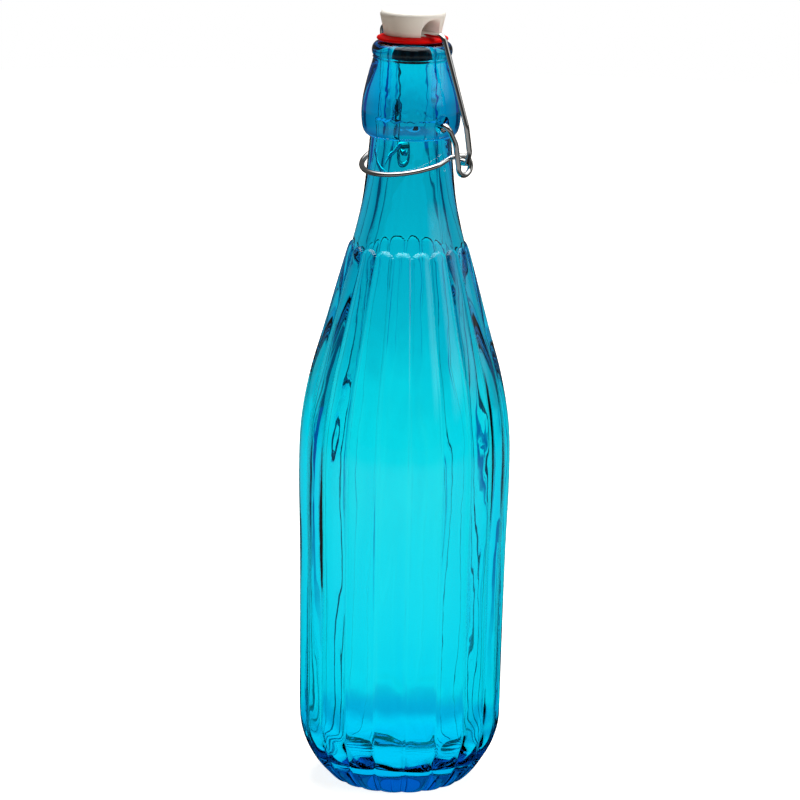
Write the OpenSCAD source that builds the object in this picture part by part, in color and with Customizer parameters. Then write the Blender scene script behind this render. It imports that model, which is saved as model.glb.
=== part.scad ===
// Swing-top glass bottle with a ribbed body, a white stopper, a gasket and two bent wires.
// It stands on the table at z = 0 with its axis on Z. All sizes are in millimetres.
// The wire pivots lie on X, the thumb ring is at -Y and the eyes of the lever are at +Y.

/* [Glass bottle] */
// Height of the glass from the table to the lip
glass_h = 304.2; // [290:0.2:330]
// Diameter over the ribs at the widest place
belly_d = 86; // [76:0.5:96]
// Diameter of the foot that it stands on
foot_d = 56; // [48:0.5:64]
// Height of the rounded heel above the foot
heel_h = 28; // [20:0.5:36]
// Height of the smooth neck between the ribs and the finish
neck_h = 43.4; // [36:0.1:50]
// Number of ribs round the body
rib_n = 20; // [12:4:28]
// Height of a rib over the valleys beside it
rib_depth = 1.2; // [0.8:0.1:1.8]
// Thickness of the body wall behind a valley
wall = 2.8; // [2.2:0.1:3.6]
// Thickness of the base in the middle
base_t = 5.8; // [4:0.2:10]
// Thickness of the neck wall just under the finish
neck_wall = 7.4; // [5:0.1:7.8]
// Height below the finish over which the wall thickens from body to neck
taper_h = 107; // [90:1:120]
// Depth of the hollow under the base
push_up = 4; // [2:0.2:6]
// Diameter of the neck just under the finish
neck_d = 32.2; // [31:0.2:34]
// Height of the thick finish at the top of the neck
finish_h = 37.3; // [36:0.1:41]
// Diameter of the finish at its widest place
blob_d = 39.5; // [38.5:0.1:40.5]
// Diameter of the rounded lip
lip_d = 32; // [31.5:0.1:33.5]
// Diameter of the mouth bore
mouth_d = 17.4; // [17:0.1:18.4]

/* [Stopper and gasket] */
// Diameter of the stopper at its widest place
cap_d = 26; // [24:0.2:27]
// Diameter of the stopper where it meets the gasket
cap_low_d = 22.8; // [21:0.1:23.5]
// Height of the stopper above the gasket
cap_h = 9.9; // [8.8:0.1:11]
// Width of the tunnel that the wire passes through
tunnel_w = 8.9; // [7:0.1:10]
// Height of the tunnel
tunnel_h = 7; // [6:0.1:7.6]
// Diameter of the gasket rim
gasket_d = 28.4; // [27:0.1:29.6]
// Diameter of the gasket plug inside the mouth
plug_d = 16.8; // [15:0.1:16.9]
// Depth of the gasket plug below the lip
plug_h = 8.6; // [7:0.1:9]

/* [Wires] */
// Diameter of both wires
wire_d = 2.2; // [1.8:0.1:2.3]
// Depth of the lever pivots below the lip
pivot_drop = 30.8; // [30:0.1:32]
// Drop from the pivots to the eyes of the lever
eye_drop = 17.1; // [16.6:0.1:18]
// Distance from the pivots back to the eyes
eye_back = 11; // [10:0.1:11.6]
// Inner diameter of an eye
eye_d = 5.3; // [5.1:0.1:6]
// Clearance between the neck and the sides of the thumb ring
ring_side_gap = 2.3; // [1.8:0.1:2.8]
// Drop from the pivots to the front of the thumb ring
ring_drop = 20.3; // [18:0.1:21]
// Width of the bail between its wire centres at the widest place
bail_w = 51; // [50.6:0.2:54]
// Width of the bail between its wire centres at the stopper
bail_top_w = 38; // [37:0.2:42]

/* [Hidden] */
skin_r = belly_d / 2 - rib_depth;
foot_r = foot_d / 2;
neck_r = neck_d / 2;
blob_r = blob_d / 2;
mouth_r = mouth_d / 2;
wire_r = wire_d / 2;
finish_z = glass_h - finish_h;
rib_top = finish_z - neck_h;
overrun = 2;

// Valleys between the ribs: height as a share from heel to rib top, radius as a share of skin_r.
body_shares = [
    [0, 0.964], [0.164, 0.970], [0.343, 0.981], [0.522, 1], [0.624, 0.982],
    [0.726, 0.898], [0.829, 0.763], [0.931, 0.632], [1, 0.541]
];
// Neck: height as a share from rib top to finish, radius as a share from neck to rib top.
neck_shares = [[0.211, 0.653], [0.398, 0.403], [0.585, 0.25], [0.785, 0.129], [1, 0]];
rib_top_r = body_shares[len(body_shares) - 1][1] * skin_r;
skin_points = concat(
    [for (s = body_shares) [heel_h + s[0] * (rib_top - heel_h), s[1] * skin_r]],
    [for (s = neck_shares) [
        rib_top + s[0] * (finish_z - rib_top), neck_r + s[1] * (rib_top_r - neck_r)
    ]]
);

// A smooth radius through a list of [height, radius] points.
function slope(p, i) =
    let (a = max(i - 1, 0), b = min(i + 1, len(p) - 1))
    (p[b][1] - p[a][1]) / (p[b][0] - p[a][0]);
function part_of(p, z, i = 0) = i >= len(p) - 2 || z < p[i + 1][0] ? i : part_of(p, z, i + 1);
function radius_at(p, z) =
    let (i = part_of(p, z), d = p[i + 1][0] - p[i][0], t = (z - p[i][0]) / d, v = 1 - t)
    p[i][1] * v * v * (1 + 2 * t) + p[i + 1][1] * t * t * (3 - 2 * t)
    + d * t * v * (slope(p, i) * v - slope(p, i + 1) * t);

// Points for a revolved outline: samples of such a curve, and an elliptic arc.
function samples(p, from, to, n) = [
    for (i = [0 : n]) let (z = from + (to - from) * i / n) [radius_at(p, z), z]
];
function arc(x, z, rx, rz, from, to, n) = [
    for (i = [0 : n]) let (a = from + (to - from) * i / n) [x + rx * cos(a), z + rz * sin(a)]
];

// The heel is a rounded curve, and the ribs run on over it down to the foot.
heel_power = 0.9;
function heel_curve(z) = let (v = 1 - z / heel_h) pow(1 - v * v, heel_power);
function skin_at(z) = z >= heel_h
    ? radius_at(skin_points, z)
    : foot_r - rib_depth + (skin_points[0][1] + rib_depth - foot_r) * heel_curve(z);

// Each rib is a convex lobe with a round arch at its upper end.
arch_share = 0.6;
arch_h = arch_share * PI * belly_d / 2 / rib_n;
arch_z = rib_top - arch_h;
lobe_steps = 6;
lobe_power = 0.7;
function lobe(u, z) =
    let (s = max(0, z - arch_z) / arch_h) pow(max(0, 1 - u * u - s * s), lobe_power);
function rib_r(z, k) =
    let (u = 2 * (k % lobe_steps) / lobe_steps - 1)
    skin_at(z) + rib_depth * lobe(u, z);

join_h = 1.1;
join_z = rib_top + join_h;
heel_steps = 8;
body_steps = 16;
arch_steps = 4;
heel_spread = 1.4;
rib_levels = concat(
    [for (i = [0 : heel_steps - 1]) heel_h * pow(i / heel_steps, heel_spread)],
    [for (i = [0 : body_steps - 1]) heel_h + (arch_z - heel_h) * i / body_steps],
    [for (i = [0 : arch_steps]) arch_z + arch_h * sin(90 * i / arch_steps)],
    [join_z]
);

// A closed solid through rings of points, each ring with the same number of sides.
module loft(points, sides) {
    rings = len(points) / sides;
    first = [for (k = [0 : sides - 1]) k];
    last = [for (k = [sides - 1 : -1 : 0]) (rings - 1) * sides + k];
    skin = [
        for (j = [0 : rings - 2], k = [0 : sides - 1])
            let (a = j * sides + k, b = j * sides + (k + 1) % sides)
                for (f = [[a, a + sides, b], [b, a + sides, b + sides]]) f
    ];
    polyhedron(points, concat([first], skin, [last]));
}

// It stands on a flat ring round a shallow dome, which is a list of [radius, height] points.
foot_w = 3.6;
hollow_r = foot_r - foot_w;
dome_steps = 5;
dome = [
    for (i = [1 : dome_steps]) let (s = i / dome_steps) [hollow_r * s, push_up * (1 - s * s)]
];

// A valley lies at +X and at -X, in line with the pivots.
module ribbed_body() {
    sides = rib_n * lobe_steps;
    loft(concat(
        [for (d = dome, k = [0 : sides - 1])
            let (a = 360 * k / sides) [d[0] * cos(a), d[0] * sin(a), d[1]]],
        [for (z = rib_levels, k = [0 : sides - 1])
            let (a = 360 * k / sides, r = rib_r(z, k)) [r * cos(a), r * sin(a), z]]
    ), sides);
}

// The finish: height as a share of finish_h, radius as a share of blob_r.
blob_shares = [
    [0, 0.86], [0.02, 0.91], [0.065, 0.96], [0.137, 0.99], [0.257, 1], [0.39, 0.98],
    [0.54, 0.925], [0.695, 0.85], [0.785, 0.798], [0.853, 0.78]
];
blob_points = [for (s = blob_shares) [finish_z + s[0] * finish_h, s[1] * blob_r]];
blob_top = blob_points[len(blob_points) - 1][0];
lip_w = 2.6;
lip_h = 3.3;
lip_x = lip_d / 2 - lip_w;
join_step = 0.05;

// It starts a little inside the top of the ribbed body, so that the two join in one plane.
module neck_and_finish() {
    low_r = radius_at(skin_points, join_z) - join_step;
    rotate_extrude() polygon(concat(
        [[0, rib_top], [low_r, rib_top], [low_r, join_z]],
        samples(skin_points, join_z + join_h, finish_z, 14),
        samples(blob_points, finish_z, blob_top, 24),
        arc(lip_x, glass_h - lip_h, lip_w, lip_h, -40, 90, 8),
        [[0, glass_h]]
    ));
}

// The space inside, from the raised floor to the bore of the mouth.
bore_h = 16;
edge_r = 1;
floor_rise = 0.7;
inner_heel_w = 15.5;
inner_heel_h = 17.9;
inner_heel_top = base_t + push_up - floor_rise + inner_heel_h;
throat_z = finish_z - wire_d;
bore_z = glass_h - bore_h;
function cavity_r(z) =
    let (t = min(1, max(0, 1 - (finish_z - z) / taper_h)))
    skin_at(z) - wall - (neck_wall - wall) * t;

module cavity() {
    low_r = cavity_r(inner_heel_top);
    rotate_extrude() polygon(concat(
        [[0, base_t + push_up]],
        arc(low_r - inner_heel_w, inner_heel_top, inner_heel_w, inner_heel_h, -90, 0, 8),
        [for (i = [1 : 24])
            let (z = inner_heel_top + (throat_z - inner_heel_top) * i / 24) [cavity_r(z), z]],
        [[mouth_r, bore_z]],
        arc(mouth_r + edge_r, glass_h - edge_r, edge_r, edge_r, 180, 90, 4),
        [[mouth_r + edge_r, glass_h + overrun], [0, glass_h + overrun]]
    ));
}

// A pivot hole in the finish, on the side at +X, with a flared mouth.
pivot_z = glass_h - pivot_drop;
pivot_depth = 4.3;
pin_gap = 0.25;
hole_r = wire_r + pin_gap;
flare_r = 3.6;
flare_h = 2.6;
pivot_floor = blob_r - pivot_depth;

module pivot_hole() {
    flare_x = pivot_depth - flare_h;
    flare_end = hole_r + (flare_r - hole_r) * (flare_h + overrun) / flare_h;
    translate([pivot_floor, 0, pivot_z]) rotate([0, 90, 0]) rotate_extrude() polygon([
        [0, 0], [hole_r, 0], [hole_r, flare_x], [flare_end, pivot_depth + overrun],
        [0, pivot_depth + overrun]
    ]);
}

module glass_bottle() {
    color([0.1, 0.72, 0.85, 0.6]) difference() {
        union() {
            ribbed_body();
            neck_and_finish();
        }
        cavity();
        pivot_hole();
        mirror([1, 0, 0]) pivot_hole();
    }
}

// The stopper: a flared cap over a tunnel for the wire, and a stem with a knob below.
seat_gap = 0.1;
lip_gap = 2.8;
cap_z = glass_h + lip_gap;
cap_r = cap_d / 2;
cap_low_r = cap_low_d / 2;
cap_top = cap_z + cap_h;
cap_edge = 1.6;
cap_crown = 0.4;
boss_r = 7;
boss_z = glass_h + 4 * seat_gap;
stem_r = 4;
knob_r = 5.2;
knob_tip_r = 3.9;
knob_h = 2.2;
knob_skin = 1.1;
knob_z = glass_h - plug_h + knob_skin;

module stopper() {
    arch_r = tunnel_w / 2;
    wall_h = tunnel_h - arch_r;
    color([0.93, 0.92, 0.9]) difference() {
        rotate_extrude() polygon(concat(
            [
                [0, knob_z], [knob_tip_r, knob_z], [knob_r, knob_z + knob_h / 2],
                [knob_r, knob_z + knob_h], [stem_r, knob_z + knob_h], [stem_r, boss_z],
                [boss_r, boss_z], [boss_r, cap_z], [cap_low_r, cap_z]
            ],
            arc(cap_r - cap_edge, cap_top - cap_crown - cap_edge, cap_edge, cap_edge, 0, 80, 6),
            [[cap_low_r / 2, cap_top - cap_crown / 4], [0, cap_top]]
        ));
        translate([-cap_d, -arch_r, cap_z - seat_gap / 2])
            cube([2 * cap_d, tunnel_w, wall_h + seat_gap / 2]);
        translate([-cap_d, 0, cap_z + wall_h]) rotate([0, 90, 0]) cylinder(h = 2 * cap_d, r = arch_r);
    }
}

// The gasket: a lens-shaped flange over the lip and a plug that covers the stem.
// Heights in the plug are shares of its depth, and its radii are shares of its radius.
plug_shares = [[1, 0.74], [0.62, 1], [0.15, 1]];
rim_rise = 1.5;

module gasket() {
    plug_r = plug_d / 2;
    fit = seat_gap / 2;
    low = glass_h + 1.5 * seat_gap;
    pocket = knob_z + knob_h + fit;
    color([0.75, 0.05, 0.05]) rotate_extrude() polygon(concat(
        [[0, glass_h - plug_h]],
        [for (s = plug_shares) [plug_r * s[1], glass_h - plug_h * s[0]]],
        [
            [plug_r - fit, low], [mouth_r + edge_r, low], [lip_x, low + seat_gap],
            [gasket_d / 2, glass_h + rim_rise], [cap_r - cap_edge / 4, cap_z - 2 * seat_gap],
            [cap_low_r, cap_z - seat_gap], [boss_r + fit, cap_z - seat_gap],
            [boss_r + fit, boss_z - fit], [stem_r + fit, boss_z - fit], [stem_r + fit, pocket],
            [knob_r + fit, pocket], [knob_r + fit, knob_z + knob_h / 2],
            [knob_tip_r + fit, knob_z - fit], [0, knob_z - fit]
        ]
    ));
}

// A round wire swept along a path. Its first side vector is carried along without a twist.
wire_sides = 12;
function unit(v) = v / norm(v);
function heading(p, i) = unit(p[min(i + 1, len(p) - 1)] - p[max(i - 1, 0)]);
function carry(u, t) = unit(u - t * (u * t));

module wire(p, side) {
    last = len(p) - 1;
    across = [
        for (i = 0, u = side; i <= last; i = i + 1, u = carry(u, heading(p, min(i, last)))) u
    ];
    loft([
        for (i = [0 : last])
            let (h = heading(p, i), u = carry(across[i], h), v = cross(h, u))
                for (k = [0 : wire_sides - 1])
                    let (a = 360 * k / wire_sides) p[i] + wire_r * (u * cos(a) + v * sin(a))
    ], wire_sides);
}

// A bend of radius r at the corner b between the points a and c.
bend_steps = 6;
function bend(a, b, c, r) =
    let (
        u = unit(a - b), v = unit(c - b), half = acos(u * v) / 2, turn = 180 - 2 * half,
        m = b + unit(u + v) * r / sin(half),
        s = b + u * r / tan(half) - m, e = b + v * r / tan(half) - m
    )
    [for (i = [0 : bend_steps])
        let (w = turn * i / bend_steps) m + (s * sin(turn - w) + e * sin(w)) / sin(turn)];
function mirrored(p) = [for (i = [len(p) - 1 : -1 : 0]) [-p[i][0], p[i][1], p[i][2]]];

// The lever: a pin in each pivot, a leg down to each eye and a thumb ring round the front.
leg_gap = 0.55;
corner_gap = 2.05;
turn_gap = 0.3;
ring_gap = 0.45;
ring_dip = 1.4;
pin_bend = 2.6;
leg_bend = 8;
run_bend = 5.5;
knee_share = 0.45;
knee_out = 0.55;
eye_r = eye_d / 2 + wire_r;
eye_z = pivot_z - eye_drop;
leg_x = blob_r + leg_gap + wire_r;
run_x = leg_x - wire_d - turn_gap;
ring_z = pivot_z - ring_drop;
ring_r = radius_at(skin_points, ring_z) + ring_gap + wire_r;
ring_side_y = 0.7;
ring_side_x = radius_at(skin_points, eye_z) + ring_side_gap + wire_r;

pin_start = [pivot_floor + 2 * pin_gap, 0, pivot_z];
pin_corner = [blob_r + corner_gap + wire_r, 0, pivot_z];
knee = [leg_x + knee_out, knee_share * eye_back, pivot_z - knee_share * eye_drop];
leg_end = [leg_x, eye_back - eye_r, eye_z + wire_r];
eye_steps = 24;
eye_turn = 270;
eye_path = [
    for (i = [0 : eye_steps])
        let (t = i / eye_steps, a = 180 + eye_turn * t)
            [leg_x + (run_x - leg_x) * t, eye_back + eye_r * cos(a), eye_z + eye_r * sin(a)]
];
eye_end = eye_path[eye_steps];
ring_steps = 44;
ring_start = 8;
ring_path = [
    for (i = [0 : ring_steps])
        let (a = ring_start + (180 - 2 * ring_start) * i / ring_steps, t = sin(a))
            [
                ring_side_x * cos(a), ring_side_y - (ring_r + ring_side_y) * t,
                eye_end[2] - ring_dip + (ring_z - eye_end[2] + ring_dip) * t
            ]
];
lever_side = concat(
    [pin_start],
    bend(pin_start, pin_corner, knee, pin_bend),
    bend(pin_corner, knee, leg_end, leg_bend),
    eye_path,
    bend(eye_end, [run_x, eye_back / 2, eye_end[2]], ring_path[0], run_bend)
);

module locking_lever() {
    color([0.75, 0.75, 0.77]) wire(concat(lever_side, ring_path, mirrored(lever_side)), [0, 1, 0]);
}

// The bail: a bent wire in one plane, through the stopper and with a hook into each eye.
// A place on it is its x and its share of the way from the stopper to the hooks.
cross_gap = 0.3;
hook_gap = 0.1;
hook_over = 0.2;
hook_in = 0.4;
low_in = 0.4;
cross_z = cap_z + cross_gap + wire_r;
hook_y = eye_back - hook_in;
hook_z = eye_z + wire_r;
low_share = 0.9;
wide_share = 0.7;
hook_bend = 1.8;
low_bend = 4;
wide_bend = 9;
top_bend = 2.6;
function on_bail(x, s) = [x, hook_y * s, cross_z + (hook_z - cross_z) * s];
hook_tip = on_bail(run_x - wire_r + hook_over, 1);
hook_corner = on_bail(leg_x + wire_r + hook_gap, 1);
bail_low = on_bail(bail_w / 2 - low_in, low_share);
bail_wide = on_bail(bail_w / 2, wide_share);
bail_top = on_bail(bail_top_w / 2, 0);
bail_side = concat(
    [hook_tip],
    bend(hook_tip, hook_corner, bail_low, hook_bend),
    bend(hook_corner, bail_low, bail_wide, low_bend),
    bend(bail_low, bail_wide, bail_top, wide_bend),
    bend(bail_wide, bail_top, on_bail(0, 0), top_bend)
);

module closure_bail() {
    color([0.7, 0.7, 0.72]) wire(concat(bail_side, mirrored(bail_side)), [0, 1, 0]);
}

glass_bottle();
stopper();
gasket();
closure_bail();
locking_lever();
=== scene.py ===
import math

import bmesh
import bpy
from mathutils import Matrix, Quaternion, Vector, noise


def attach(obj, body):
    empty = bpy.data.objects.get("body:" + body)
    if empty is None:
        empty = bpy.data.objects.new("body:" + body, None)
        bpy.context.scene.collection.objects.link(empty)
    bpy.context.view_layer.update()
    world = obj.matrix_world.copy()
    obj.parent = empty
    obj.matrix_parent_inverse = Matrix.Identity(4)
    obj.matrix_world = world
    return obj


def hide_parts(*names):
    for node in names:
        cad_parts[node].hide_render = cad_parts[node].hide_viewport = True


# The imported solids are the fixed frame: metres, +Z up, foot of the bottle on z = 0.
# Below, shapes are worked out in millimetres and scaled once when a piece is finished.
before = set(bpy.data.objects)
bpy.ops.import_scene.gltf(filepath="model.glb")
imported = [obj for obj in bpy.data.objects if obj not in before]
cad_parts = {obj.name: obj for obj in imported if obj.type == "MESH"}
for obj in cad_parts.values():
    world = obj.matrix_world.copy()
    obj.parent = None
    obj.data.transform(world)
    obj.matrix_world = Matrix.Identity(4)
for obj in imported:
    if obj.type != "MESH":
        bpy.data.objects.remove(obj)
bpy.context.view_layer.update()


# Glass bottle: one piece of blown soda-lime glass with twenty upright ribs, a smooth neck and a
# thick finish. The mould presses the ribs and the two pivot holes into the outside and leaves a
# seam. The inside takes no mould, so its wall runs thick and thin in long upright waves.
GLASS_H = 304.2
FOOT_R = 28
HEEL_H = 28
RIBS = 20
RIB_DEPTH = 1.2
RIB_TOP = 223.5
ARCH_H = 4.1
COLUMNS_PER_RIB = 12
FINISH_Z = 266.9
GROOVE_Z = 297.6
MOUTH_R = 8.7
PIVOT_Z = 273.4

# The wall is WALL thick up to THICKER_Z, and from there it thickens evenly to NECK_WALL.
WALL = 2.8
NECK_WALL = 7.4
THICKER_Z = 160
# The floor of the inside is highest in the middle, and a rounded corner joins it to the wall.
FLOOR_Z = 9.8
FLOOR_FALL = 0.7
FLOOR_R = 20
CORNER_Z = 27
CORNER_W = 15.5
CORNER_H = 17.9

# Heights and radii of the valleys between the ribs, and on up the neck.
SKIN = [
    (28, 40.3), (60, 40.55), (95, 41), (130, 41.8), (150, 41.05), (170, 37.54), (190, 31.9),
    (210, 26.42), (223.5, 22.61), (232.7, 20.35), (240.8, 18.72), (248.9, 17.73), (257.6, 16.94),
    (266.9, 16.1),
]
# Heights and radii of the finish, from the step over the neck to the groove under the lip.
FINISH = [
    (266.9, 17), (267.7, 18), (269.3, 18.95), (272, 19.55), (276.5, 19.75), (281.4, 19.35),
    (287.1, 18.25), (292.8, 16.8), (296.2, 15.75), (298.7, 15.4),
]


def radius_at(points, z):
    """Radius at a height on a smooth curve through (height, radius) points."""
    last = len(points) - 1
    i = max(k for k in range(last) if k == 0 or points[k][0] <= z)

    def slope(k):
        (z0, r0), (z1, r1) = points[max(k - 1, 0)], points[min(k + 1, last)]
        return (r1 - r0) / (z1 - z0)

    (z0, r0), (z1, r1) = points[i], points[i + 1]
    step = z1 - z0
    t = (z - z0) / step
    v = 1 - t
    value = r0 * v * v * (1 + 2 * t) + r1 * t * t * (3 - 2 * t)
    return value + step * t * v * (slope(i) * v - slope(i + 1) * t)


def skin_at(z):
    """Radius of the valleys between the ribs, and of the neck, at a height."""
    if z >= HEEL_H:
        return radius_at(SKIN, z)
    curve = (1 - (1 - z / HEEL_H) ** 2) ** 0.9
    return FOOT_R - RIB_DEPTH + (SKIN[0][1] + RIB_DEPTH - FOOT_R) * curve


def ramp(value, start, end):
    """How far a value is from start to end, from 0 to 1."""
    return min(1, max(0, (value - start) / (end - start)))


def spread(low, high, count, power=1):
    """Heights from low to high, closer together at the low end when power is over 1."""
    return [low + (high - low) * (i / count) ** power for i in range(count)]


def arc(x, z, rx, rz, start, end, count):
    """Points of an elliptic arc in the outline plane, in degrees."""
    turns = [math.radians(start + (end - start) * i / count) for i in range(count + 1)]
    return [(x + rx * math.cos(a), z + rz * math.sin(a)) for a in turns]


def lathe(outline, steps):
    """A bmesh of an outline of (radius, height) points spun round Z."""
    bm = bmesh.new()
    verts = [bm.verts.new((r, 0, z)) for r, z in outline]
    edges = [bm.edges.new(pair) for pair in zip(verts, verts[1:])]
    bmesh.ops.spin(
        bm, geom=verts + edges, axis=(0, 0, 1), cent=(0, 0, 0), angle=math.tau, steps=steps,
        use_merge=True,
    )
    bmesh.ops.remove_doubles(bm, verts=bm.verts, dist=1e-4)
    bmesh.ops.recalc_face_normals(bm, faces=bm.faces)
    return bm


def finished(bm, name, material, body, node):
    """Makes the piece of a bmesh in millimetres, in metres, riding on its body for its CAD node."""
    bmesh.ops.scale(bm, vec=(0.001, 0.001, 0.001), verts=bm.verts)
    mesh = bpy.data.meshes.new(name)
    bm.to_mesh(mesh)
    bm.free()
    mesh.shade_smooth()
    piece = bpy.data.objects.new(name, mesh)
    bpy.context.scene.collection.objects.link(piece)
    mesh.materials.append(material)
    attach(piece, body)
    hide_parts(node)


def linear(colour):
    """An sRGB hex colour as the linear one that a shader takes."""
    parts = [int(colour[i : i + 2], 16) / 255 for i in (1, 3, 5)]
    return [p / 12.92 if p <= 0.04045 else ((p + 0.055) / 1.055) ** 2.4 for p in parts] + [1]


def add_node(tree, kind, inputs=None, **settings):
    """Adds a node with its settings. An input is a plain value, or a node or socket to link."""
    node = tree.nodes.new(kind)
    for name, value in settings.items():
        setattr(node, name, value)
    for key, value in (inputs or {}).items():
        if isinstance(value, bpy.types.Node):
            value = value.outputs[0]
        if isinstance(value, bpy.types.NodeSocket):
            tree.links.new(value, node.inputs[key])
        else:
            node.inputs[key].default_value = value
    return node


def new_tree(owner):
    """The emptied node tree of a material or world."""
    owner.use_nodes = True
    owner.node_tree.nodes.clear()
    return owner.node_tree


# Soda-lime glass, coloured turquoise in the melt and fire polished: it takes out the red
# in a few millimetres, so thin walls look cyan and the long way through the edges deep blue.
glass = bpy.data.materials.new("turquoise soda-lime glass")
tree = new_tree(glass)
surface = add_node(tree, "ShaderNodeBsdfPrincipled", {
    "Base Color": linear("#FFFFFF"), "Roughness": 0, "IOR": 1.5, "Transmission Weight": 1,
})
colour_in_melt = add_node(tree, "ShaderNodeVolumeAbsorption", {
    "Color": (0, 0.9675, 0.9895, 1), "Density": 800,
})
add_node(tree, "ShaderNodeOutputMaterial", {
    "Surface": surface, "Volume": colour_in_melt,
})

arch_z = RIB_TOP - ARCH_H
heights = (
    spread(0, HEEL_H, 26, 1.4)
    + spread(HEEL_H, arch_z, 54)
    + spread(arch_z, RIB_TOP + 1, 34)
    + spread(RIB_TOP + 1, FINISH_Z, 22)
)
outside = [(0, 4), (8, 3.6), (16, 2.2), (22, 0.7), (24.3, 0), (25.6, 0)]
outside += [(skin_at(z), z) for z in heights]
outside += [(16.13, 266.5), (16.1, 266.8), (16.25, FINISH_Z)]
outside += [(radius_at(FINISH, z), z) for z in spread(FINISH_Z, GROOVE_Z, 62, 1.3)]
outside += [(15.3, 297.7), (15.65, 298.1), (15.65, 298.3), (15.25, 298.7)]
outside += arc(13.4, 300.9, 2.6, 3.3, -38, 90, 14)
outside += [(11.5, GLASS_H), (MOUTH_R + 1, GLASS_H)]
skin = lathe(outside, RIBS * COLUMNS_PER_RIB)

# The ribs: each point moves round to crowd the valleys, and then out to its lobe. The lobe ends in
# an arch at the top, and it fades out where it meets the ring that the bottle stands on.
CROWDING = 1.25
STANDING_R = 25.8
for v in skin.verts:
    radius, z = math.hypot(v.co.x, v.co.y), v.co.z
    if z < RIB_TOP + 1 and radius > 1:
        turn = math.atan2(v.co.y, v.co.x) * RIBS / math.tau
        across = 2 * (turn - math.floor(turn)) - 1
        warped = math.copysign(1 - (1 - abs(across)) ** CROWDING, across)
        angle = (math.floor(turn) + (warped + 1) / 2) * math.tau / RIBS
        arch = max(0, z - arch_z) / ARCH_H
        lobe = max(0, 1 - warped ** 2 - arch ** 2) ** (0.7 - 0.4 * min(1, 2 * arch))
        foot = ramp(radius, STANDING_R, STANDING_R + 1) if z < 0.01 else 1
        radius += RIB_DEPTH * lobe * foot
        v.co = Vector((radius * math.cos(angle), radius * math.sin(angle), z))

# Mould seam: a fine ragged ridge up the neck and finish, in line with the pivots.
SEAM_H = 0.1
SEAM_RAGGED = 0.14
SEAM_LEAST = 0.03
for v in skin.verts:
    if v.co.z > RIB_TOP + 1 and abs(v.co.y) < 0.1 and abs(v.co.x) > 12:
        ragged = SEAM_H + SEAM_RAGGED * noise.noise(Vector((v.co.x, 0, v.co.z / 1.6)))
        v.co.x += math.copysign(max(SEAM_LEAST, ragged), v.co.x)


def inner_radius(z):
    """Radius of the inside at a height."""
    return skin_at(z) - WALL - (NECK_WALL - WALL) * ramp(z, THICKER_Z, FINISH_Z)


# From the floor up: the corner, the wall, a bore with a small ledge in it, and the mouth.
BORE_Z = 264.7
LEDGE_Z = 274
corner_r = inner_radius(CORNER_Z) - CORNER_W
inside = [(r, FLOOR_Z - FLOOR_FALL * (r / FLOOR_R) ** 2) for r in (0, 3, 6, 9, 12, 15, 18, FLOOR_R)]
inside += arc(corner_r, CORNER_Z, CORNER_W, CORNER_H, -88, 0, 22)[:-1]
inside += [(inner_radius(z), z) for z in spread(CORNER_Z, BORE_Z, 96)]
inside += [(9, 266), (9, 269), (9.15, 271), (9.3, 272.4), (9.45, 273.4), (9.4, 273.7)]
inside += [(8.8, LEDGE_Z)]
inside += [(MOUTH_R, z) for z in spread(LEDGE_Z + 0.4, GLASS_H - 1, 40)]
inside += arc(MOUTH_R + 1, GLASS_H - 1, 1, 1, 180, 90, 4)
cavity = lathe(inside, RIBS * COLUMNS_PER_RIB)

# The wall runs thick and thin: slow waves, long up the bottle and short round it. The bore and its
# ledge are a little ragged, and the floor of the inside is uneven.
WAVE_DEPTH = 0.9
BORE_DEPTH = 0.14
FLOOR_DEPTH = 0.65
LEDGE_DEPTH = 0.7
UNEVEN_SEED = 2
noise.seed_set(UNEVEN_SEED)
for v in cavity.verts:
    radius = math.hypot(v.co.x, v.co.y)
    fade = ramp(v.co.z, 297, 285) * ramp(v.co.z, 10, 30)
    place = Vector((v.co.x / 16, v.co.y / 16, v.co.z / 70))
    fine = Vector((v.co.x / 7, v.co.y / 7, v.co.z / 34))
    wave = noise.noise(place) + 0.35 * noise.noise(fine)
    if radius > 1:
        ragged = (0.4 + 0.6 * ramp(v.co.z, 250, 260)) * noise.noise(v.co / 2.6)
        push = WAVE_DEPTH * (0.2 + radius / 50) * wave + BORE_DEPTH * ragged
        v.co.xy *= 1 + fade * push / radius
    if v.co.z < 36:
        v.co += noise.noise_vector(v.co / 10) * FLOOR_DEPTH * ramp(v.co.z, 36, 24)
    if LEDGE_Z - 1.5 < v.co.z < LEDGE_Z + 1.5:
        v.co.z += LEDGE_DEPTH * noise.noise(v.co / 1.8)

# Both skins meet at the lip, and the doubled ring there is welded.
inner_mesh = bpy.data.meshes.new("inside")
cavity.to_mesh(inner_mesh)
cavity.free()
skin.from_mesh(inner_mesh)
bpy.data.meshes.remove(inner_mesh)
bmesh.ops.remove_doubles(skin, verts=skin.verts, dist=0.01)
bmesh.ops.recalc_face_normals(skin, faces=skin.faces)


def blank(name, bm):
    """A plain object of a bmesh, to be cut or to cut with."""
    mesh = bpy.data.meshes.new(name)
    bm.to_mesh(mesh)
    bm.free()
    form = bpy.data.objects.new(name, mesh)
    bpy.context.scene.collection.objects.link(form)
    return form


def cut(whole, cutter):
    """The first blank less the second, as a bmesh. Both are taken out of the scene."""
    step = whole.modifiers.new("cut", "BOOLEAN")
    step.operation = "DIFFERENCE"
    step.solver = "EXACT"
    step.object = cutter
    bpy.context.view_layer.update()
    bm = bmesh.new()
    bm.from_object(whole, bpy.context.evaluated_depsgraph_get())
    bpy.data.objects.remove(whole)
    bpy.data.objects.remove(cutter)
    return bm


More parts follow.
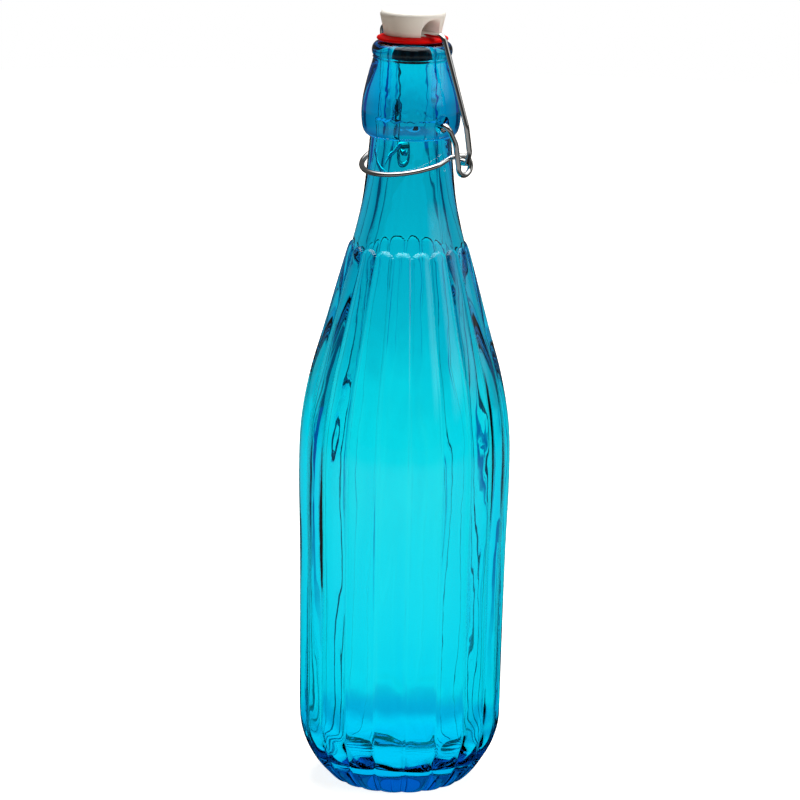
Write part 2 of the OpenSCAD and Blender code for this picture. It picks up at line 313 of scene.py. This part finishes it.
# Pivot holes: a round recess on each side of the finish, with a rounded edge, and in its middle
# the hole that the pin of the lever turns in.
for side in (90, -90):
    hole = lathe([
        (0, 15.45), (1.1, 15.45), (1.35, 15.7), (1.35, 17.1), (1.7, 17.6), (2.9, 18.5), (3.5, 19.2),
        (3.8, 19.55), (4.3, 19.8), (5.2, 20.1), (5.2, 22), (0, 22),
    ], 48)
    bmesh.ops.rotate(hole, matrix=Matrix.Rotation(math.radians(side), 3, "Y"), verts=hole.verts)
    bmesh.ops.translate(hole, vec=(0, 0, PIVOT_Z), verts=hole.verts)
    skin = cut(blank("glass", skin), blank("pivot hole", hole))
finished(skin, "bottle_glass", glass, "bottle", "glass_bottle")


# Stopper: moulded white plastic, a flared cap with a tunnel for the bail and a knob below that
# holds the gasket. Its satin surface comes from the mould.
plastic = bpy.data.materials.new("moulded white polypropylene")
tree = new_tree(plastic)
place = add_node(tree, "ShaderNodeTexCoord").outputs["Object"]
mottle = add_node(tree, "ShaderNodeTexNoise", {"Vector": place, "Scale": 900, "Detail": 3})
satin = add_node(tree, "ShaderNodeMapRange", {
    "Value": mottle, "To Min": 0.38, "To Max": 0.52,
})
grain = add_node(tree, "ShaderNodeBump", {
    "Height": mottle, "Strength": 0.12, "Distance": 0.0002,
})
surface = add_node(tree, "ShaderNodeBsdfPrincipled", {
    "Base Color": linear("#F2EEE6"), "Roughness": satin, "IOR": 1.49, "Normal": grain,
})
add_node(tree, "ShaderNodeOutputMaterial", {"Surface": surface})

CAP_Z = 307
CAP_TOP = 316.9
TUNNEL_R = 4.45
TUNNEL_Z = 309.55
LATHE_STEPS = 128
cap = [(0, 296.7), (3.9, 296.7), (5.2, 297.8), (5.2, 298.9), (4, 298.9), (4, 304.6), (7, 304.6)]
cap += [(7, CAP_Z), (11.2, CAP_Z), (11.4, CAP_Z + 0.2), (11.6, 308.4), (12.1, 311)]
cap += arc(11.4, 314.9, 1.6, 1.6, 0, 80, 10) + [(8, 316.7), (4, 316.85), (0, CAP_TOP)]
tunnel = bmesh.new()
arch_line = [(-TUNNEL_R, CAP_Z - 0.05)] + arc(0, TUNNEL_Z, TUNNEL_R, TUNNEL_R, 180, 0, 32)
arch_line += [(TUNNEL_R, CAP_Z - 0.05)]
end_face = tunnel.faces.new([tunnel.verts.new((-20, y, z)) for y, z in arch_line])
drawn_out = bmesh.ops.extrude_face_region(tunnel, geom=[end_face])
moved = [g for g in drawn_out["geom"] if isinstance(g, bmesh.types.BMVert)]
bmesh.ops.translate(tunnel, vec=(40, 0, 0), verts=moved)
bmesh.ops.recalc_face_normals(tunnel, faces=tunnel.faces)
bored_cap = cut(blank("cap", lathe(cap, LATHE_STEPS)), blank("tunnel", tunnel))
finished(bored_cap, "stopper_cap", plastic, "stopper", "stopper")


# Gasket: moulded red rubber, a lens-shaped flange pressed between stopper and lip, and a soft
# plug that closes the mouth round the stopper's stem.
rubber = bpy.data.materials.new("moulded red silicone rubber")
tree = new_tree(rubber)
place = add_node(tree, "ShaderNodeTexCoord").outputs["Object"]
bloom = add_node(tree, "ShaderNodeTexNoise", {"Vector": place, "Scale": 400, "Detail": 4})
tone = add_node(tree, "ShaderNodeMix", {
    "Factor": bloom, "A": linear("#E00303"), "B": linear("#EE0606"),
}, data_type="RGBA")
surface = add_node(tree, "ShaderNodeBsdfPrincipled", {
    "Base Color": tone.outputs["Result"], "Roughness": 0.45, "IOR": 1.41, "Specular IOR Level": 0.1,
})
add_node(tree, "ShaderNodeOutputMaterial", {"Surface": surface})

flange = [(0, 295.6)] + arc(5, 296.8, 1.4, 1.2, -90, -20, 5) + [(7.1, 297.7), (7.7, 299)]
flange += [(8.15, 300.6), (8.5, 302.2), (8.65, 303.3), (9, 304), (9.65, 304.3), (12.4, 304.45)]
flange += [(13.5, 304.8)] + arc(13.65, 305.55, 0.55, 0.6, -60, 60, 8)
flange += [(12.9, 306.5), (11.8, 306.85), (11.35, 306.9), (7.05, 306.9), (7.05, 304.55)]
flange += [(4.05, 304.55), (4.05, 298.95), (5.25, 298.95), (5.25, 297.8), (3.95, 296.65)]
flange += [(0, 296.65)]
flange_bm = lathe(flange, LATHE_STEPS)
finished(flange_bm, "gasket_rubber", rubber, "stopper", "gasket")


# Locking lever: one length of 2.2 mm plated steel wire. Its ends turn in the pivot holes of the
# glass, each leg is coiled into an eye, and the front is a ring that the thumb pulls down.
WIRE_R = 1.1
PIN_END = 15.95
EYE_Y, EYE_Z, EYE_R = 11, 256.3, 3.75
EYE_STEPS = 40
LEG_X, RUN_X = 21.4, 18.9
RING_W, RING_REACH, RING_Y = 20.6, 19.3, 0.7
RING_Z, RING_DROP = 258.65, 5.55
RING_STEPS = 90

steel = bpy.data.materials.new("bright drawn steel wire")
tree = new_tree(steel)
place = add_node(tree, "ShaderNodeTexCoord").outputs["Object"]
drawn = add_node(tree, "ShaderNodeTexNoise", {"Vector": place, "Scale": 700, "Detail": 3})
polish = add_node(tree, "ShaderNodeMapRange", {
    "Value": drawn, "To Min": 0.06, "To Max": 0.14,
})
surface = add_node(tree, "ShaderNodeBsdfPrincipled", {
    "Base Color": linear("#D8D8D6"), "Metallic": 1, "Roughness": polish,
})
add_node(tree, "ShaderNodeOutputMaterial", {"Surface": surface})


def bend(before, corner, after, radius, count=10):
    """Points round a bend in the wire, of a radius, between two straights."""
    a, b, c = Vector(before), Vector(corner), Vector(after)
    u, v = (a - b).normalized(), (c - b).normalized()
    half = u.angle(v) / 2
    centre = b + (u + v).normalized() * radius / math.sin(half)
    start, end = b + u * radius / math.tan(half) - centre, b + v * radius / math.tan(half) - centre
    turn = math.pi - 2 * half
    return [
        centre + (start * math.sin(turn * (1 - t)) + end * math.sin(turn * t)) / math.sin(turn)
        for t in [i / count for i in range(count + 1)]
    ]


def both_sides(half, middle=()):
    """A path from one side of the bottle to the other, the same on both."""
    return half + list(middle) + [Vector((-p.x, p.y, p.z)) for p in reversed(half)]


def wire(name, path, body, node):
    """Makes the piece of a round steel wire along a path."""
    curve = bpy.data.curves.new(name, "CURVE")
    curve.dimensions = "3D"
    curve.bevel_depth = WIRE_R
    curve.bevel_resolution = 5
    curve.use_fill_caps = True
    line = curve.splines.new("POLY")
    line.points.add(len(path) - 1)
    for point, spot in zip(line.points, path):
        point.co = (*spot, 1)
    form = bpy.data.objects.new(name + " path", curve)
    bpy.context.scene.collection.objects.link(form)
    bpy.context.view_layer.update()
    evaluated = form.evaluated_get(bpy.context.evaluated_depsgraph_get())
    tube = bpy.data.meshes.new_from_object(evaluated)
    bm = bmesh.new()
    bm.from_mesh(tube)
    bpy.data.objects.remove(form)
    bpy.data.meshes.remove(tube)
    bmesh.ops.remove_doubles(bm, verts=bm.verts, dist=1e-4)
    bmesh.ops.recalc_face_normals(bm, faces=bm.faces)
    finished(bm, name, steel, body, node)


# From the pin in the glass: out, down the leg and three quarters round the eye.
pin, corner = (PIN_END, 0, PIVOT_Z), (22.9, 0, PIVOT_Z)
knee, leg_end = (21.95, 4.95, 265.7), (LEG_X, EYE_Y - EYE_R, EYE_Z + WIRE_R)
lever_side = [Vector(pin)] + bend(pin, corner, knee, 2.6) + bend(corner, knee, leg_end, 8)
for i in range(EYE_STEPS + 1):
    t = i / EYE_STEPS
    angle = math.radians(180 + 270 * t)
    y, z = EYE_Y + EYE_R * math.cos(angle), EYE_Z + EYE_R * math.sin(angle)
    lever_side.append(Vector((LEG_X + (RUN_X - LEG_X) * t, y, z)))
ring = []
for i in range(RING_STEPS + 1):
    angle = math.radians(8 + 164 * i / RING_STEPS)
    y, z = RING_Y - RING_REACH * math.sin(angle), RING_Z - RING_DROP * math.sin(angle)
    ring.append(Vector((RING_W * math.cos(angle), y, z)))
eye_top = EYE_Z + EYE_R
lever_side += bend(lever_side[-1], (RUN_X, EYE_Y / 2, eye_top), ring[0], 5.5)
wire("thumb_lever_wire", both_sides(lever_side, ring), "lever", "locking_lever")


# Closure bail: one length of the same wire. Its middle lies in the stopper's tunnel, the sides
# flare round the finish, and each end is hooked into an eye of the lever.
BAIL_Z = 308.4
BAIL_DROP = 51
HOOK_Y = 10.6


def on_bail(x, share):
    """A point of the bail's plane, at a share of the way from the stopper down to the hooks."""
    return Vector((x, HOOK_Y * share, BAIL_Z - BAIL_DROP * share))


corners = [
    on_bail(18, 1), on_bail(22.6, 1), on_bail(25.1, 0.9), on_bail(25.5, 0.7), on_bail(19, 0),
    on_bail(0, 0),
]
bail_side = [corners[0]]
for i, radius in enumerate([1.8, 4, 9, 2.6]):
    bail_side += bend(corners[i], corners[i + 1], corners[i + 2], radius)
wire("bail_wire", both_sides(bail_side), "bail", "closure_bail")


# Studio: a white floor in a ring of nine white panels with thin dark gaps between them. One panel
# is the backdrop, behind the bottle as the camera sees it. The glass and the wires mirror a panel
# at the right and the ceiling, and only faintly the rest. The camera itself sees it all white.
DOWN, ROUND, ROLL = 0.24107, math.radians(50.6), 0.01946
BEHIND = (-math.sin(ROUND), math.cos(ROUND), 0)
RIGHT = (0.777, 0.631, 0)
PANELS = 9
FLOOR_REACH = 2


def seen_round(tree, vector):
    """How far a direction or place is towards the backdrop and towards the right panel, each from
    -1 to 1, how much of it is panel and not gap, and how much it is beside the backdrop."""
    flat = add_node(tree, "ShaderNodeVectorMath", {0: vector, 1: (1, 1, 0)}, operation="MULTIPLY")
    unit = add_node(tree, "ShaderNodeVectorMath", {0: flat}, operation="NORMALIZE")
    back = add_node(tree, "ShaderNodeVectorMath", {0: unit, 1: BEHIND}, operation="DOT_PRODUCT")
    side = add_node(tree, "ShaderNodeVectorMath", {0: unit, 1: RIGHT}, operation="DOT_PRODUCT")
    facing = back.outputs["Value"]
    angle = add_node(tree, "ShaderNodeMath", {0: facing}, operation="ARCCOSINE")
    turns = add_node(tree, "ShaderNodeMath", {0: angle, 1: PANELS}, operation="MULTIPLY")
    wave = add_node(tree, "ShaderNodeMath", {0: turns}, operation="COSINE")
    widened = add_node(tree, "ShaderNodeMath", {
        0: facing, 1: 0.6, 2: wave,
    }, operation="MULTIPLY_ADD")
    in_panel = add_node(tree, "ShaderNodeMapRange", {
        "Value": widened, "From Min": -0.45, "From Max": -0.37, "To Min": 0, "To Max": 1,
    }, interpolation_type="SMOOTHSTEP")
    beside = add_node(tree, "ShaderNodeMapRange", {
        "Value": facing, "From Min": 0.3, "From Max": 0.95, "To Min": 1, "To Max": 0,
    }, interpolation_type="SMOOTHSTEP")
    return facing, side.outputs["Value"], in_panel, beside


# The room: light for matt surfaces, what metal and glass mirror, and what shows through the glass.
world = bpy.data.worlds.new("studio room")
bpy.context.scene.world = world
tree = new_tree(world)
ray = add_node(tree, "ShaderNodeLightPath").outputs
toward = add_node(tree, "ShaderNodeTexCoord").outputs["Generated"]
height = add_node(tree, "ShaderNodeSeparateXYZ", {"Vector": toward}).outputs["Z"]
facing, side, in_panel, beside = seen_round(tree, toward)
front = add_node(tree, "ShaderNodeMapRange", {
    "Value": facing, "From Min": -0.7, "From Max": -0.1, "To Min": 0.45, "To Max": 1,
}, interpolation_type="SMOOTHSTEP")
over_panels = add_node(tree, "ShaderNodeMapRange", {
    "Value": height, "From Min": 0.12, "From Max": 0.25, "To Min": 0, "To Max": 1,
}, interpolation_type="SMOOTHSTEP")
ceiling = add_node(tree, "ShaderNodeMapRange", {
    "Value": height, "From Min": 0.3, "From Max": 0.42, "To Min": 0.5, "To Max": 1.2,
}, interpolation_type="SMOOTHSTEP")
upward = add_node(tree, "ShaderNodeMix", {"Factor": over_panels, "A": 1.0, "B": ceiling})
through_glass = add_node(tree, "ShaderNodeMath", {0: front, 1: upward}, operation="MULTIPLY")
backdrop = add_node(tree, "ShaderNodeMapRange", {
    "Value": facing, "From Min": -0.1, "From Max": 0.5, "To Min": 0.03, "To Max": 0.1,
}, interpolation_type="SMOOTHSTEP")
right_panel = add_node(tree, "ShaderNodeMapRange", {
    "Value": side, "From Min": 0.78, "From Max": 0.98, "To Min": 0, "To Max": 0.9,
}, interpolation_type="SMOOTHSTEP")
risen = add_node(tree, "ShaderNodeMapRange", {
    "Value": height, "From Min": 0, "From Max": 0.22, "To Min": 0, "To Max": 1,
}, interpolation_type="SMOOTHSTEP")
right_panel = add_node(tree, "ShaderNodeMath", {0: right_panel, 1: risen}, operation="MULTIPLY")
overhead = add_node(tree, "ShaderNodeMapRange", {
    "Value": height, "From Min": 0.5, "From Max": 0.95, "To Min": 0, "To Max": 4,
}, interpolation_type="SMOOTHSTEP")
mirrored = add_node(tree, "ShaderNodeMath", {0: backdrop, 1: right_panel}, operation="MAXIMUM")
mirrored = add_node(tree, "ShaderNodeMath", {0: mirrored, 1: overhead}, operation="MAXIMUM")
level = add_node(tree, "ShaderNodeMix", {"Factor": ray["Is Glossy Ray"], "A": 0.08, "B": mirrored})
level = add_node(tree, "ShaderNodeMix", {
    "Factor": ray["Is Transmission Ray"], "A": level, "B": through_glass,
})
level = add_node(tree, "ShaderNodeMix", {"Factor": ray["Is Camera Ray"], "A": level, "B": 1.0})
panel = add_node(tree, "ShaderNodeMix", {
    "Factor": beside, "A": linear("#B8C6CC"), "B": linear("#829AAC"),
}, data_type="RGBA")
shade = add_node(tree, "ShaderNodeMix", {
    "Factor": in_panel, "A": linear("#1A4C68"), "B": panel.outputs["Result"],
}, data_type="RGBA")
shade = add_node(tree, "ShaderNodeMix", {
    "Factor": over_panels, "A": shade.outputs["Result"], "B": linear("#A4CCF4"),
}, data_type="RGBA")
tint = add_node(tree, "ShaderNodeMix", {
    "Factor": ray["Is Diffuse Ray"], "A": linear("#FFFFFF"), "B": linear("#FFDDB8"),
}, data_type="RGBA")
tint = add_node(tree, "ShaderNodeMix", {
    "Factor": ray["Is Transmission Ray"], "A": tint.outputs["Result"], "B": shade.outputs["Result"],
}, data_type="RGBA")
room = add_node(tree, "ShaderNodeBackground", {"Color": tint.outputs["Result"], "Strength": level})
add_node(tree, "ShaderNodeOutputWorld", {"Surface": room})

# White seamless paper, matt and lit by the lamps, so that it keeps the bottle's soft shadow. Seen
# through the glass it is bluer with the distance, and darker in line with the gaps. Near the bottle
# it carries a painted shadow of it: through the glass, painted cyan light under the foot and
# painted blue shade round it, and in what glass and metal mirror, painted dark.
paper = bpy.data.materials.new("white seamless paper")
tree = new_tree(paper)
ray = add_node(tree, "ShaderNodeLightPath").outputs
place = add_node(tree, "ShaderNodeTexCoord").outputs["Object"]
facing, _, in_panel, beside = seen_round(tree, place)
away = add_node(tree, "ShaderNodeVectorMath", {0: place}, operation="LENGTH").outputs["Value"]
# Painted shadow of the bottle: within this reach the paper shows painted light and shade, not plain
# paper.
clear = add_node(tree, "ShaderNodeMapRange", {
    "Value": away, "From Min": 0.1, "From Max": 0.5, "To Min": 0, "To Max": 1,
}, interpolation_type="SMOOTHSTEP")
far = add_node(tree, "ShaderNodeMapRange", {
    "Value": away, "From Min": 0.4, "From Max": 1.25, "To Min": 0, "To Max": 1,
}, interpolation_type="SMOOTHSTEP")
front = add_node(tree, "ShaderNodeMapRange", {
    "Value": facing, "From Min": -0.7, "From Max": -0.1, "To Min": 0.6, "To Max": 1,
}, interpolation_type="SMOOTHSTEP")
# Painted light under the foot and painted blue shade round it, fading out past 13 cm.
under = add_node(tree, "ShaderNodeMapRange", {
    "Value": away, "From Min": 0.045, "From Max": 0.065, "To Min": 0, "To Max": 1,
}, interpolation_type="SMOOTHSTEP")
out = add_node(tree, "ShaderNodeMapRange", {
    "Value": away, "From Min": 0.07, "From Max": 0.13, "To Min": 0, "To Max": 1,
}, interpolation_type="SMOOTHSTEP")
# Painted light: through the glass the paper under the foot shows 1.4 times as bright.
painted_light_under_foot = add_node(tree, "ShaderNodeMix", {"Factor": under, "A": 1.4, "B": 1.0})
through_glass = add_node(tree, "ShaderNodeMix", {"Factor": clear, "A": painted_light_under_foot, "B": front})
near_paper = add_node(tree, "ShaderNodeMix", {
    "Factor": beside, "A": linear("#FAFAFA"), "B": linear("#C4E6FA"),
}, data_type="RGBA")
far_paper = add_node(tree, "ShaderNodeMix", {
    "Factor": beside, "A": linear("#C4D0D8"), "B": linear("#86A0AE"),
}, data_type="RGBA")
white = add_node(tree, "ShaderNodeMix", {
    "Factor": far, "A": near_paper.outputs["Result"], "B": far_paper.outputs["Result"],
}, data_type="RGBA")
shade = add_node(tree, "ShaderNodeMix", {
    "Factor": in_panel, "A": linear("#1A56A0"), "B": white.outputs["Result"],
}, data_type="RGBA")
# Painted shadow: a blue ring round the foot, pale blue past it, and painted cyan light right under
# it.
painted_shadow_round_foot = add_node(tree, "ShaderNodeMix", {
    "Factor": out, "A": linear("#9CC4E8"), "B": linear("#E4F2FA"),
}, data_type="RGBA")
painted_light_and_shadow_at_foot = add_node(tree, "ShaderNodeMix", {
    "Factor": under, "A": linear("#A4D0E6"), "B": painted_shadow_round_foot.outputs["Result"],
}, data_type="RGBA")
shade = add_node(tree, "ShaderNodeMix", {
    "Factor": clear, "A": painted_light_and_shadow_at_foot.outputs["Result"], "B": shade.outputs["Result"],
}, data_type="RGBA").outputs["Result"]
mirrored = add_node(tree, "ShaderNodeMapRange", {
    "Value": facing, "From Min": -0.6, "From Max": 0.3, "To Min": 0.34, "To Max": 0.08,
}, interpolation_type="SMOOTHSTEP")
near_table = add_node(tree, "ShaderNodeMapRange", {
    "Value": away, "From Min": 0.6, "From Max": 1, "To Min": 1, "To Max": 0.2,
}, interpolation_type="SMOOTHSTEP")
mirrored = add_node(tree, "ShaderNodeMath", {0: mirrored, 1: near_table}, operation="MULTIPLY")
# Painted shadow: mirrored by glass and metal, the paper goes dark near the bottle.
mirrored = add_node(tree, "ShaderNodeMath", {0: mirrored, 1: clear}, operation="MULTIPLY")
matt = add_node(tree, "ShaderNodeBsdfDiffuse", {"Color": linear("#DCD4CA")})
glow_level = add_node(tree, "ShaderNodeMath", {
    0: ray["Is Camera Ray"], 1: 0.86,
}, operation="MULTIPLY")
glow = add_node(tree, "ShaderNodeEmission", {"Color": linear("#FFFFFF"), "Strength": glow_level})
lit = add_node(tree, "ShaderNodeAddShader", {0: matt, 1: glow})
level = add_node(tree, "ShaderNodeMix", {
    "Factor": ray["Is Transmission Ray"], "A": mirrored, "B": through_glass,
})
tint = add_node(tree, "ShaderNodeMix", {
    "Factor": ray["Is Transmission Ray"], "A": linear("#FFFFFF"), "B": shade,
}, data_type="RGBA").outputs["Result"]
flat = add_node(tree, "ShaderNodeEmission", {"Color": tint, "Strength": level})
by_glass_or_metal = add_node(tree, "ShaderNodeMath", {
    0: ray["Is Glossy Ray"], 1: ray["Is Transmission Ray"],
}, operation="MAXIMUM")
shown = add_node(tree, "ShaderNodeMixShader", {0: by_glass_or_metal, 1: lit, 2: flat})
add_node(tree, "ShaderNodeOutputMaterial", {"Surface": shown})

sweep = bmesh.new()
bmesh.ops.create_circle(sweep, cap_ends=True, segments=96, radius=FLOOR_REACH)
floor_mesh = bpy.data.meshes.new("floor")
sweep.to_mesh(floor_mesh)
sweep.free()
floor_mesh.materials.append(paper)
floor = bpy.data.objects.new("floor", floor_mesh)
floor.location.z = -0.0002  # just under the foot, so that the two don't share a plane
bpy.context.scene.collection.objects.link(floor)


MIDDLE = (0, 0, 0.16)


def soft_lamp(name, place, size, power):
    """A square soft lamp that faces the middle of the bottle. Glass and metal don't show it."""
    lamp = bpy.data.lights.new(name, "AREA")
    lamp.shape = "SQUARE"
    lamp.size = size
    lamp.energy = power
    holder = bpy.data.objects.new(name, lamp)
    holder.location = place
    holder.visible_transmission = False
    holder.visible_glossy = False
    aim = Vector(MIDDLE) - holder.location
    holder.rotation_euler = aim.to_track_quat("-Z", "Y").to_euler()
    bpy.context.scene.collection.objects.link(holder)


soft_lamp("left lamp", (-0.5, -1.2, 0.9), 0.7, 1)
soft_lamp("right lamp", (1.5, 0.5, 0.7), 0.8, 12)
soft_lamp("top lamp", (-0.4, 0.5, 1.7), 1.2, 40)

# Camera: at the photograph's place, 13.8 degrees above the middle of the bottle, rolled a degree.
camera = bpy.data.objects.new("camera", bpy.data.cameras.new("camera"))
camera.data.lens = 153.21
camera.location = (1.0336, -0.8518, 0.4875)
ahead = Vector((
    -math.cos(DOWN) * math.sin(ROUND), math.cos(DOWN) * math.cos(ROUND), -math.sin(DOWN)
))
turned = ahead.to_track_quat("-Z", "Y") @ Quaternion((0, 0, 1), ROLL)
camera.rotation_euler = turned.to_euler()
bpy.context.scene.collection.objects.link(camera)
bpy.context.scene.camera = camera
bpy.context.scene.view_settings.view_transform = "Standard"
